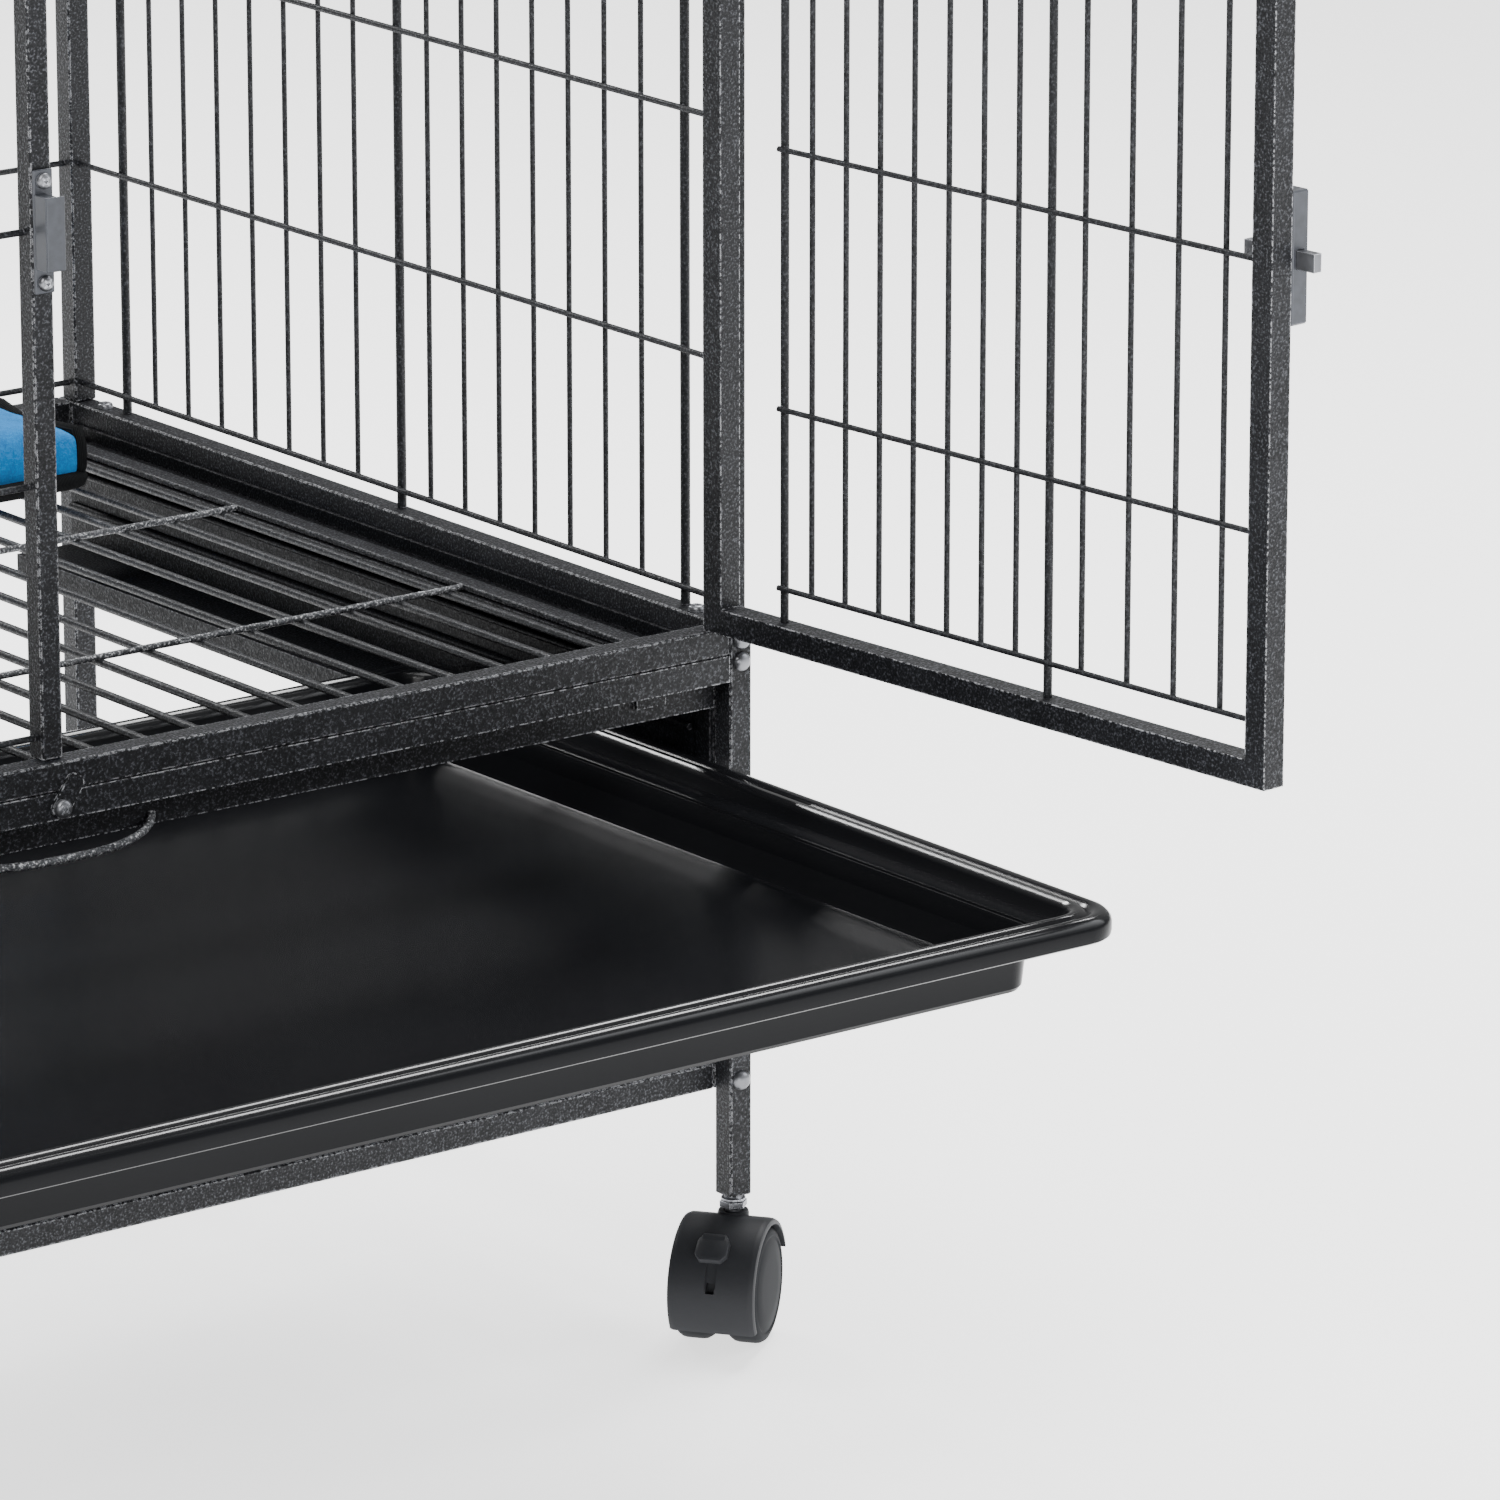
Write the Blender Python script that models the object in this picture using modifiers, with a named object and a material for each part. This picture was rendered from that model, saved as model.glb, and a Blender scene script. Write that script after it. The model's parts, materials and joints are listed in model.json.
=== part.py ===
"""Large wire cage on a rolling stand, with a full-height door, a slide-out grate and a slide-out tray.

Dimensions are in millimetres, measured from the middle of the cage at floor level: +X right, +Y back, +Z up.
"""
import math

import bmesh
import bpy
from mathutils import Matrix, Vector

MM = 0.001
GAP = 0.3                      # clearance between pieces that touch

# overall frame
HALF_W = 343.0                 # half of the stand's width
HALF_D = 252.5                 # half of the stand's depth
TUBE = 11.0                    # square tube of legs, posts and rails
POST_SETBACK = 4.0             # the cage posts stand this far behind the face of the legs
LEG_BOTTOM, LEG_TOP = 61.0, 310.3
BASE_LOW = 298.5               # underside of the cage's base rails
POST_TOP = 1338.7
TOP_RING = 1350.0
CENTRE_POST = 9.6
ORIGIN_XY = (-6.864, -156.149)     # middle of the footprint with the door open and the tray pulled out

# wire walls
WIRE = 2.4
THICK = 3.5
WALL_LOW = 319.0
WALL_STEP = 101.8
FLOOR_PITCH = 25.4

# door
DOOR_ANGLE = 95.1
HINGE = (331.2, -251.5)
DOOR_LEFT, DOOR_RIGHT = -323.7, -0.5
DOOR_FRONT = 3.3
DOOR_LOW, DOOR_HIGH = 311.8, 1336.5
DOOR_TUBE = 10.7
DOOR_BARS = (42.3, 58.6, 78.5, 98.4, 118.2, 138.1, 158.0, 177.8, 196.4, 215.2, 240.8, 266.5, 292.2)
DOOR_RUNGS = (520.7, 845.0, 1169.4)
LATCH_LOW, LATCH_HIGH = 495.0, 548.0

# grate drawer and tray
GRATE_LOW, GRATE_HIGH = 295.2, 298.2
TRAY_OUT = 271.0
TRAY_LENGTH = 474.0
TRAY_HALF = 324.0
TRAY_TOP = 255.0
TRAY_FLOOR = 221.0
TRAY_LIP = 10.6                # height of the tray's outer lip
GUIDE_TOP = TRAY_TOP - TRAY_LIP - GAP

# casters
WHEEL_R = 25.0
CASTER_ANGLES = {"front_right": 217.3, "front_left": 196.0, "back_right": 238.0, "back_left": 172.0}

BLACK = (0.045, 0.047, 0.052, 1.0)
ZINC = (0.55, 0.56, 0.58, 1.0)
GREY = (0.13, 0.14, 0.155, 1.0)
PLASTIC = (0.012, 0.0125, 0.014, 1.0)
HOOD = (0.045, 0.046, 0.05, 1.0)
BLUE = (0.013, 0.305, 0.68, 1.0)

for old in list(bpy.data.objects):
    bpy.data.objects.remove(old, do_unlink=True)
for old in list(bpy.data.collections):
    bpy.data.collections.remove(old)

parts = bpy.data.collections.new("rolling_cage")
cutters = bpy.data.collections.new("cutters")
bpy.context.scene.collection.children.link(parts)
bpy.context.scene.collection.children.link(cutters)


def material(name, colour, rough, metal):
    made = bpy.data.materials.new(name)
    made.use_nodes = True
    shader = made.node_tree.nodes["Principled BSDF"]
    shader.inputs["Base Color"].default_value = colour
    shader.inputs["Roughness"].default_value = rough
    shader.inputs["Metallic"].default_value = metal
    made.diffuse_color = colour
    return made


def empty(name, at, parent=None, turn=0.0):
    made = bpy.data.objects.new(name, None)
    parts.objects.link(made)
    made.parent = parent
    made.location = Vector(at) * MM
    made.rotation_euler = (0.0, 0.0, math.radians(turn))
    return made


cage = empty("cage_middle", (-ORIGIN_XY[0], -ORIGIN_XY[1], 0.0))


def finish(made, name, parent, colour, rough, metal, group=None):
    (group or parts).objects.link(made)
    made.name = name
    made.parent = parent
    if colour is not None:
        made.data.materials.append(material(name, colour, rough, metal))
    return made


def mesh_from(bm, name):
    data = bpy.data.meshes.new(name)
    bm.to_mesh(data)
    bm.free()
    return data


def box(name, low, high, parent=None, colour=BLACK, rough=0.45, metal=0.6, bevel=0.0, group=None):
    """A box between two corners, with its origin in its middle."""
    low, high = Vector(low) * MM, Vector(high) * MM
    bm = bmesh.new()
    bmesh.ops.create_cube(bm, size=1.0)
    bmesh.ops.scale(bm, vec=high - low, verts=bm.verts)
    made = bpy.data.objects.new(name, mesh_from(bm, name))
    made.location = (low + high) / 2
    if bevel:
        edge = made.modifiers.new("edges", "BEVEL")
        edge.width = bevel * MM
        edge.segments = 1
    return finish(made, name, parent or cage, colour, rough, metal, group)


def cylinder(name, radius, low, high, at, axis="Z", sides=24, parent=None, colour=BLACK, rough=0.5,
             metal=0.0, group=None, bevel=0.0, offset=0.0):
    """A cylinder from low to high along an axis through the point at."""
    bm = bmesh.new()
    turn = {"Z": Matrix(), "Y": Matrix.Rotation(math.radians(-90), 4, "X"),
            "X": Matrix.Rotation(math.radians(90), 4, "Y")}[axis]
    shift = Matrix.Translation((0, 0, (low + high) / 2 * MM))
    bmesh.ops.create_cone(bm, cap_ends=True, cap_tris=False, segments=sides, radius1=radius * MM,
                          radius2=radius * MM, depth=(high - low) * MM,
                          matrix=turn @ shift @ Matrix.Rotation(offset, 4, "Z"))
    made = bpy.data.objects.new(name, mesh_from(bm, name))
    made.location = Vector(at) * MM
    if bevel:
        edge = made.modifiers.new("edges", "BEVEL")
        edge.width = bevel * MM
        edge.segments = 1
        edge.angle_limit = math.radians(50)
    made.data.shade_smooth()
    made.data.set_sharp_from_angle(angle=math.radians(35))
    return finish(made, name, parent or cage, colour, rough, metal, group)


def flat_curve(name, outlines, thickness):
    """A flat plate from closed outlines: the first is its edge and the others are holes."""
    data = bpy.data.curves.new(name, "CURVE")
    data.dimensions = "2D"
    data.fill_mode = "BOTH"
    data.extrude = thickness / 2 * MM
    for outline in outlines:
        spline = data.splines.new("POLY")
        spline.points.add(len(outline) - 1)
        for point, (x, y) in zip(spline.points, outline):
            point.co = (x * MM, y * MM, 0.0, 1.0)
        spline.use_cyclic_u = True
    return data


def rectangle(x0, x1, y0, y1):
    return [(x0, y0), (x1, y0), (x1, y1), (x0, y1)]


def round_rectangle(x0, x1, y0, y1, radius, steps=5):
    points = []
    for cx, cy, start in ((x1 - radius, y1 - radius, 0), (x0 + radius, y1 - radius, 90),
                          (x0 + radius, y0 + radius, 180), (x1 - radius, y0 + radius, 270)):
        for i in range(steps + 1):
            angle = math.radians(start + 90 * i / steps)
            points.append((cx + radius * math.cos(angle), cy + radius * math.sin(angle)))
    return points


def grid(x0, x1, y0, y1, bars, rungs, edge=WIRE, bar=WIRE):
    """Outlines of a plate of crossing wires: bars run along its second axis and rungs along its first."""
    xs = [(x0, x0 + edge)] + [(b - w / 2, b + w / 2) for b, w in bars] + [(x1 - edge, x1)]
    ys = [(y0, y0 + edge)] + [(r - bar / 2, r + bar / 2) for r in rungs] + [(y1 - edge, y1)]
    holes = []
    for left, right in zip(xs, xs[1:]):
        for under, over in zip(ys, ys[1:]):
            holes.append(rectangle(left[1], right[0], under[1], over[0]))
    return [rectangle(x0, x1, y0, y1)] + holes


TURNS = {"floor": (0.0, 0.0, 0.0), "front": (math.pi / 2, 0.0, 0.0), "side": (math.pi / 2, 0.0, math.pi / 2)}


def plate(name, outlines, thickness, at, facing, parent=None, colour=BLACK, rough=0.45, metal=0.6, group=None):
    made = bpy.data.objects.new(name, flat_curve(name, outlines, thickness))
    made.location = Vector(at) * MM
    made.rotation_euler = TURNS[facing]
    return finish(made, name, parent or cage, colour, rough, metal, group)


def as_mesh(source):
    """The same object as a closed mesh, for joining and cutting."""
    bpy.context.view_layer.update()
    ready = source.evaluated_get(bpy.context.evaluated_depsgraph_get())
    data = bpy.data.meshes.new_from_object(ready)
    bm = bmesh.new()
    bm.from_mesh(data)
    bmesh.ops.remove_doubles(bm, verts=bm.verts, dist=1e-6)
    bmesh.ops.recalc_face_normals(bm, faces=bm.faces)
    bm.to_mesh(data)
    bm.free()
    made = bpy.data.objects.new(source.name + "_mesh", data)
    for group in source.users_collection:
        group.objects.link(made)
    made.parent = source.parent
    made.location = source.location
    made.rotation_euler = source.rotation_euler
    name = source.name
    bpy.data.objects.remove(source, do_unlink=True)
    made.name = name
    return made


def combine(target, other, operation):
    """Joins a helper to a piece, or cuts it out of the piece."""
    step = target.modifiers.new(other.name, "BOOLEAN")
    step.operation = operation
    step.solver = "EXACT"
    step.object = other
    other.hide_render = True
    other.display_type = "WIRE"


def add_box(target, name, low, high, parent=None):
    combine(target, box(name, low, high, parent, None, group=cutters), "UNION")


def cut_box(target, name, low, high, parent=None):
    combine(target, box(name, low, high, parent, None, group=cutters), "DIFFERENCE")


def wire(name, points, diameter, parent, colour=BLACK, rough=0.45, metal=0.6):
    data = bpy.data.curves.new(name, "CURVE")
    data.dimensions = "3D"
    data.bevel_depth = diameter / 2 * MM
    data.bevel_resolution = 2
    data.use_fill_caps = True
    spline = data.splines.new("POLY")
    spline.points.add(len(points) - 1)
    for point, place in zip(spline.points, points):
        point.co = tuple(value * MM for value in place) + (1.0,)
    made = bpy.data.objects.new(name, data)
    return finish(made, name, parent, colour, rough, metal)


# ---- stand: legs, lower rails and shelf
SIDES = {"right": 1, "left": -1}
ENDS = {"front": -1, "back": 1}
for end, ey in ENDS.items():
    for side, sx in SIDES.items():
        xs = sorted((sx * (HALF_W - TUBE), sx * HALF_W))
        ys = sorted((ey * (HALF_D - TUBE), ey * HALF_D))
        box(f"leg_{end}_{side}", (xs[0], ys[0], LEG_BOTTOM), (xs[1], ys[1], LEG_TOP), bevel=0.6)
        ys = sorted((ey * (HALF_D - POST_SETBACK - TUBE), ey * (HALF_D - POST_SETBACK)))
        box(f"post_{end}_{side}", (xs[0], ys[0], LEG_TOP + GAP), (xs[1], ys[1], POST_TOP), bevel=0.6)

INNER_W = HALF_W - TUBE - GAP
INNER_D = HALF_D - TUBE - GAP
for end, ey in ENDS.items():
    ys = sorted((ey * (HALF_D - TUBE), ey * HALF_D))
    box(f"base_rail_{end}", (-INNER_W, ys[0], BASE_LOW), (INNER_W, ys[1], LEG_TOP), bevel=0.6)
    ys = sorted((ey * INNER_D, ey * (INNER_D - TUBE)))
    box(f"stand_rail_{end}", (-INNER_W, ys[0], 107.0), (INNER_W, ys[1], 118.0), bevel=0.6)
for side, sx in SIDES.items():
    xs = sorted((sx * (HALF_W - TUBE), sx * HALF_W))
    box(f"base_rail_{side}", (xs[0], -INNER_D, BASE_LOW), (xs[1], INNER_D, LEG_TOP), bevel=0.6)
    box(f"stand_rail_{side}", (xs[0], -INNER_D, 107.0), (xs[1], INNER_D, 118.0), bevel=0.6)
    guide = [(300.0, 236.0), (301.8, 236.0), (301.8, GUIDE_TOP - 2), (INNER_W, GUIDE_TOP - 2),
             (INNER_W, GRATE_LOW - GAP), (310.0, GRATE_LOW - GAP), (310.0, GRATE_LOW - GAP - 2),
             (INNER_W - 2, GRATE_LOW - GAP - 2), (INNER_W - 2, GUIDE_TOP), (300.0, GUIDE_TOP)]
    plate(f"side_guide_{side}", [[(sx * x, z) for x, z in guide]], 471.0, (0, 4.5, 0), "front")

floor_bars = [(-317.5 + FLOOR_PITCH * i, 3.0) for i in range(26)]
shelf_half = INNER_D - TUBE - GAP
plate("shelf", grid(-331.0, 331.0, -shelf_half, shelf_half, floor_bars, (0.0,), 4.0), 3.0, (0, 0, 113.0), "floor")

# ---- cage: top, walls and centre post
plate("top_frame", [rectangle(-HALF_W, HALF_W, -HALF_D, HALF_D),
                    rectangle(-HALF_W + TUBE, HALF_W - TUBE, -HALF_D + TUBE, HALF_D - TUBE)],
      TOP_RING - POST_TOP - GAP, (0, 0, (TOP_RING + POST_TOP + GAP) / 2), "floor")
plate("top_mesh", grid(-INNER_W, INNER_W, -INNER_D, INNER_D, floor_bars, (0.0,)), WIRE, (0, 0, 1344.5), "floor")

WALL_RUNGS = [WALL_LOW + WALL_STEP * 3, WALL_LOW + WALL_STEP * 6]
WALL_TOP = POST_TOP - GAP
side_bars = [(-HALF_D + d, THICK) for d in (40.4, 244.6, 458.7)]
side_bars += [(-HALF_D + 69.4 + 25.4 * i, WIRE) for i in range(7)]
side_bars += [(-HALF_D + 276.4 + 26.35 * i, WIRE) for i in range(7)]
side_bars.sort()
SIDE_END = HALF_D - POST_SETBACK - TUBE - GAP
for side, sx in SIDES.items():
    plate(f"wall_{side}", grid(-SIDE_END, SIDE_END, WALL_LOW - 1.2, WALL_TOP, side_bars, WALL_RUNGS),
          WIRE, (sx * 337.5, 0, 0), "side")
WALL_Y = HALF_D - POST_SETBACK - TUBE / 2
plate("wall_back", grid(-INNER_W, INNER_W, WALL_LOW - 1.2, WALL_TOP, floor_bars, WALL_RUNGS),
      WIRE, (0, WALL_Y, 0), "front")
front_edge = -CENTRE_POST / 2 - GAP
front_bars = [(-29.8 - FLOOR_PITCH * i, WIRE) for i in range(12)]
front_bars.sort()
plate("wall_front", grid(-INNER_W, front_edge, WALL_LOW - 1.2, WALL_TOP, front_bars, WALL_RUNGS),
      WIRE, (0, -WALL_Y, 0), "front")
post_front = -(HALF_D - POST_SETBACK)
box("centre_post", (-CENTRE_POST / 2, post_front, LEG_TOP + GAP),
    (CENTRE_POST / 2, post_front + CENTRE_POST, POST_TOP), bevel=0.6)

# keeper for the latch bolt: a plate with two prongs, open to the front
plate_back = post_front - GAP
keeper = box("latch_keeper", (-4.5, plate_back - 1.5, 498.6), (4.5, plate_back, 548.0), colour=GREY, metal=0.4)
add_box(keeper, "keeper_lower", (-4.0, plate_back - 10.0, 510.0), (4.0, plate_back - 0.5, 515.5))
add_box(keeper, "keeper_upper", (-4.0, plate_back - 10.0, 526.5), (4.0, plate_back - 0.5, 532.0))

# ---- door, hung on two knuckles at its outer edge
door = empty("door_pivot", (HINGE[0], HINGE[1], 0.0), cage, DOOR_ANGLE)
door_back = DOOR_FRONT + DOOR_TUBE
frame = plate("door_frame",
              [rectangle(DOOR_LEFT, DOOR_RIGHT, DOOR_LOW, DOOR_HIGH),
               rectangle(DOOR_LEFT + DOOR_TUBE, DOOR_RIGHT - DOOR_TUBE, DOOR_LOW + DOOR_TUBE,
                         DOOR_HIGH - DOOR_TUBE)],
              DOOR_TUBE, (0, (DOOR_FRONT + door_back) / 2, 0), "front", door)
frame = as_mesh(frame)
inner = DOOR_TUBE + GAP
plate("door_mesh",
      grid(DOOR_LEFT + inner, DOOR_RIGHT - inner, DOOR_LOW + inner, DOOR_HIGH - inner,
           sorted((DOOR_RIGHT - d, THICK if d in (42.3, 196.4) else 2.6) for d in DOOR_BARS), DOOR_RUNGS, 2.6, 2.6),
      2.6, (0, (DOOR_FRONT + door_back) / 2, 0), "front", door)
post = bpy.data.objects["post_front_right"]
for i, low in enumerate((640.0, 1240.0)):
    spot = (HINGE[0], HINGE[1], 0.0)
    combine(post, cylinder(f"fixed_knuckle_{i}", 2.6, low, low + 20, spot, sides=12, colour=None, group=cutters),
            "UNION")
    add_box(post, f"fixed_leaf_{i}", (332.2, HINGE[1] - 0.5, low), (333.4, -246.0, low + 20))
    combine(frame, cylinder(f"door_knuckle_{i}", 2.6, low + 20.4, low + 40, (0, 0, 0), sides=12, parent=door,
                            colour=None, group=cutters), "UNION")
    add_box(frame, f"door_leaf_{i}", (-2.2, -0.5, low + 20.4), (-0.9, 6.0, low + 40), door)

latch = box("latch_body", (DOOR_LEFT, DOOR_FRONT - 9.3, LATCH_LOW), (DOOR_LEFT + 20, DOOR_FRONT - GAP, LATCH_HIGH),
            door, GREY, 0.4, 0.4, bevel=0.8)
cut_box(latch, "latch_slot", (DOOR_LEFT - 5, DOOR_FRONT - 6.8, 517.0), (DOOR_LEFT + 25, DOOR_FRONT - 2.2, 525.0),
        door)
bolt_back = DOOR_FRONT - 2.5
bolt = box("latch_bolt", (DOOR_LEFT - 9.5, bolt_back - 4.0, 517.3), (DOOR_LEFT + 28, bolt_back, 524.7),
           door, ZINC, 0.3, 0.8)
add_box(bolt, "bolt_thumb", (DOOR_LEFT + 23.5, bolt_back - 8.0, 517.8), (DOOR_LEFT + 27, bolt_back - 1.0, 524.2), door)

# ---- grate drawer: wire floor, front rails, pull handle and lock tab
grate = empty("grate_slide", (0, 0, 0), cage)
plate("grate", grid(-320.5, 320.5, -241.2, 236.0, floor_bars, (-90.0, 80.0), 3.0, 3.0),
      GRATE_HIGH - GRATE_LOW, (0, 0, (GRATE_LOW + GRATE_HIGH) / 2), "floor", grate)
front = box("grate_front", (-INNER_W, -HALF_D, 286.9), (INNER_W, -HALF_D + TUBE, BASE_LOW - GAP), grate)
add_box(front, "grate_lower", (-INNER_W, -241.8, 273.7), (INNER_W, -231.5, 284.2), grate)
for side, sx in SIDES.items():
    xs = sorted((sx * 290.0, sx * 305.0))
    add_box(front, f"grate_link_{side}", (xs[0], -243.8, 280.0), (xs[1], -238.5, 290.0), grate)
bar_front = -241.8 - GAP - 0.2
bend = [(-50, bar_front, 278.5), (-50, -249, 277.5), (-49.5, -256, 275.5), (-47, -260, 273.8), (-42, -262, 273.0)]
wire("grate_handle", bend + [(-x, y, z) for x, y, z in reversed(bend)], 2.4, grate)
tab_pivot = empty("tab_pivot", (0, -HALF_D - GAP, 292.0), grate)
tab = plate("lock_tab", [round_rectangle(-4.2, 4.2, -4.0, 15.0, 3.5, 4)], 1.5, (0, -0.75, 0), "front",
            tab_pivot, GREY, 0.4, 0.5)
tab.rotation_euler = (math.pi / 2, math.radians(35), 0.0)

# ---- tray
tray_move = empty("tray_slide", (0, -TRAY_OUT, 0), cage)
tray_y0, tray_y1 = -HALF_D, -HALF_D + TRAY_LENGTH
tray = plate("tray", [round_rectangle(-297.5, 297.5, tray_y0 + 26.5, tray_y1 - 26.5, 14)],
             TRAY_TOP - 1 - TRAY_FLOOR, (0, 0, (TRAY_TOP - 1 + TRAY_FLOOR) / 2), "floor", tray_move,
             PLASTIC, 0.12, 0.0)
tray = as_mesh(tray)
rim = as_mesh(plate("tray_rim", [round_rectangle(-TRAY_HALF, TRAY_HALF, tray_y0, tray_y1, 20)], TRAY_LIP,
                    (0, 0, TRAY_TOP - TRAY_LIP / 2), "floor", tray_move, None, group=cutters))
combine(tray, rim, "UNION")
hollow = as_mesh(plate("tray_hollow", [round_rectangle(-295.0, 295.0, tray_y0 + 29, tray_y1 - 29, 12)], 40.0,
                       (0, 0, TRAY_FLOOR + 2.5 + 20), "floor", tray_move, None, group=cutters))
combine(tray, hollow, "DIFFERENCE")

# ---- pad lying on the floor of the cage
pad = box("pad", (60.0, 135.0, 298.6), (280.0, 232.0, 329.0), colour=BLUE, rough=0.9, metal=0.0)
soft = pad.modifiers.new("soft edges", "BEVEL")
soft.width = 6.0 * MM
soft.segments = 2

# ---- casters: stem and nut on the stand, swivelling hood, two wheels and a brake pedal each
AXLE_X = 10.0
SKIRT_TILT, SKIRT_CUT = 26.6, -2.7
PEDAL_AT, PEDAL_R = 52.0, 31.2       # polar angle and distance of the brake pedal's pivot from the axle
for place, angle in CASTER_ANGLES.items():
    end, side = place.split("_")
    cx = SIDES[side] * (HALF_W - TUBE / 2)
    cy = ENDS[end] * (HALF_D - TUBE / 2)
    stem = cylinder(f"stem_{place}", 6.1, 55.0, LEG_BOTTOM - GAP, (cx, cy, 0), sides=6, colour=ZINC, rough=0.3,
                    metal=0.9)
    combine(stem, cylinder(f"stem_rod_{place}", 3.6, 49.6, 57.0, (cx, cy, 0), sides=12, colour=None, group=cutters),
            "UNION")
    swivel = empty(f"swivel_{place}", (cx, cy, 0), cage, angle)
    hub = (AXLE_X, 0, WHEEL_R)
    hood = cylinder(f"caster_{place}", 28.5, -19.0, 19.0, hub, "Y", 28, swivel, HOOD, 0.55, 0.0, offset=0.1)
    skirt = empty(f"skirt_{place}", hub, swivel)
    skirt.rotation_euler = (0.0, math.radians(SKIRT_TILT), 0.0)
    cut_box(hood, f"hood_under_{place}", (-60, -30, -70), (60, 30, SKIRT_CUT), skirt)
    combine(hood, cylinder(f"web_{place}", 20.0, -3.9, 3.9, hub, "Y", 20, swivel, None, group=cutters), "UNION")
    combine(hood, cylinder(f"boss_{place}", 6.6, 45.0, 54.0, (0, 0, 0), "Z", 16, swivel, None, group=cutters),
            "UNION")
    for i, reach in enumerate((-1, 1)):
        ends = sorted((reach * 4.0, reach * 24.0))
        combine(hood, cylinder(f"well_{place}_{i}", 25.8, ends[0], ends[1], hub, "Y", 28, swivel, None,
                               group=cutters), "DIFFERENCE")
        ends = sorted((reach * 4.3, reach * 18.3))
        wheel = cylinder(f"wheel_{place}_{'ab'[i]}", WHEEL_R, ends[0], ends[1], hub, "Y", 28, swivel, HOOD, 0.4,
                         0.0, bevel=1.0)
        ends = sorted((reach * 0.3, reach * 6.0))
        combine(wheel, cylinder(f"axle_{place}_{i}", 3.0, ends[0], ends[1], hub, "Y", 12, swivel, None,
                                group=cutters), "UNION")
    combine(hood, cylinder(f"axle_hole_{place}", 3.4, -8.0, 8.0, hub, "Y", 12, swivel, None, group=cutters),
            "DIFFERENCE")
    combine(hood, cylinder(f"stem_hole_{place}", 4.0, 49.2, 60.0, (0, 0, 0), "Z", 12, swivel, None, group=cutters),
            "DIFFERENCE")
    lean = math.radians(PEDAL_AT)
    pedal = empty(f"pedal_{place}", (AXLE_X + PEDAL_R * math.cos(lean), 0, WHEEL_R + PEDAL_R * math.sin(lean)),
                  swivel)
    pedal.rotation_euler = (0.0, math.pi / 2 - lean, 0.0)
    box(f"brake_{place}", (-1.5, -7.0, -1.2), (11.0, 7.0, 2.2), pedal, HOOD, 0.5, 0.0, bevel=0.8)
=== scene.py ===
"""Looks of the rolling wire cage: round wires, moulded tray, casters, latch, screws and the padded floor piece."""

import json
import math

import bmesh
import bpy
from mathutils import Matrix, Vector


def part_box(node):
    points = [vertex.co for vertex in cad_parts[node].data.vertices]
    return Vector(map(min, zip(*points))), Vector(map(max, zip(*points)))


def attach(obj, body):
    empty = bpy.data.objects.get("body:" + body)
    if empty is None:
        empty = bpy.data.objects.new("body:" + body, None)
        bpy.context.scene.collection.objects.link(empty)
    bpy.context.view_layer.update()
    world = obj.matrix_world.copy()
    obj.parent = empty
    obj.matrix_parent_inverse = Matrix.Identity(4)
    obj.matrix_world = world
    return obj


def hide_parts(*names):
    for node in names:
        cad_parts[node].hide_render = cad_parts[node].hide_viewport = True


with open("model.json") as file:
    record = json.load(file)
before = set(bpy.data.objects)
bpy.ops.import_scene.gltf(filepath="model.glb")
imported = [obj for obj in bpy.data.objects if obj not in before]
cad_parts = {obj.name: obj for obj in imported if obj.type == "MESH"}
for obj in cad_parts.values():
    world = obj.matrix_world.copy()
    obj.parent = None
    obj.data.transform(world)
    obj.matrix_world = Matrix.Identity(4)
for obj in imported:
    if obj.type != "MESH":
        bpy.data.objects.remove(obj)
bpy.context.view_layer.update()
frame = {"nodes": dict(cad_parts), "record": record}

MM = 0.001

# middle of the cage, from the top frame
low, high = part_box("top_frame")
CX, CY = (low[0] + high[0]) / 2, (low[1] + high[1]) / 2

# millimetres from the middle of the cage
HALF_D = 252.5                  # half the depth over the posts
INNER_W, INNER_D = 331.7, 241.2
POST = 337.5                    # the middle of the posts and legs
WALL_STEP, WALL_LOW, WALL_TOP = 101.8, 319.0, 1338.4
WALL_FOOT = 310.6               # where the heavy wires start, on the base rails
BAR_PITCH = 25.4
BAR_START = -317.5              # the first of the 26 bars across the cage
THIN, LEVEL, HEAVY = 2.4, 2.8, 4.2          # wire diameters in the walls
DOOR_ANGLE = 95.1
HINGE = (331.2, -251.5)
# in the door's own frame: x along the door and y across it, from the hinge's axis
DOOR_LEFT, DOOR_RIGHT = -323.7, -0.5
DOOR_FRONT, DOOR_TUBE = 3.3, 10.7
DOOR_LOW, DOOR_HIGH = 311.8, 1336.5
# how far the tray is pulled out, its length, half its width and the height of its floor
TRAY_OUT, TRAY_LENGTH, TRAY_HALF, TRAY_FLOOR = 271.0, 474.0, 324.0, 221.0
SIDES = {"right": 1, "left": -1}
ENDS = {"front": -1, "back": 1}
# the way each caster points, in degrees
CASTERS = {"front_right": 217.3, "front_left": 196.0, "back_right": 238.0, "back_left": 172.0}

CAGE = Matrix.Translation((CX, CY, 0.0))
DOOR = CAGE @ Matrix.Translation((HINGE[0] * MM, HINGE[1] * MM, 0)) @ \
    Matrix.Rotation(math.radians(DOOR_ANGLE), 4, "Z")


def cage_point(x, y, z):
    return CAGE @ Vector((x * MM, y * MM, z * MM))


def put(name, data):
    """A new object in the scene."""
    made = bpy.data.objects.new(name, data)
    bpy.context.scene.collection.objects.link(made)
    return made


def mesh_from(name, bm):
    """A mesh of the bmesh, which is freed."""
    data = bpy.data.meshes.new(name)
    bm.to_mesh(data)
    bm.free()
    return data


def finished_mesh(made):
    """A mesh of the object as its modifiers or its curve settings make it."""
    bpy.context.view_layer.update()
    return bpy.data.meshes.new_from_object(made.evaluated_get(bpy.context.evaluated_depsgraph_get()))


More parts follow.
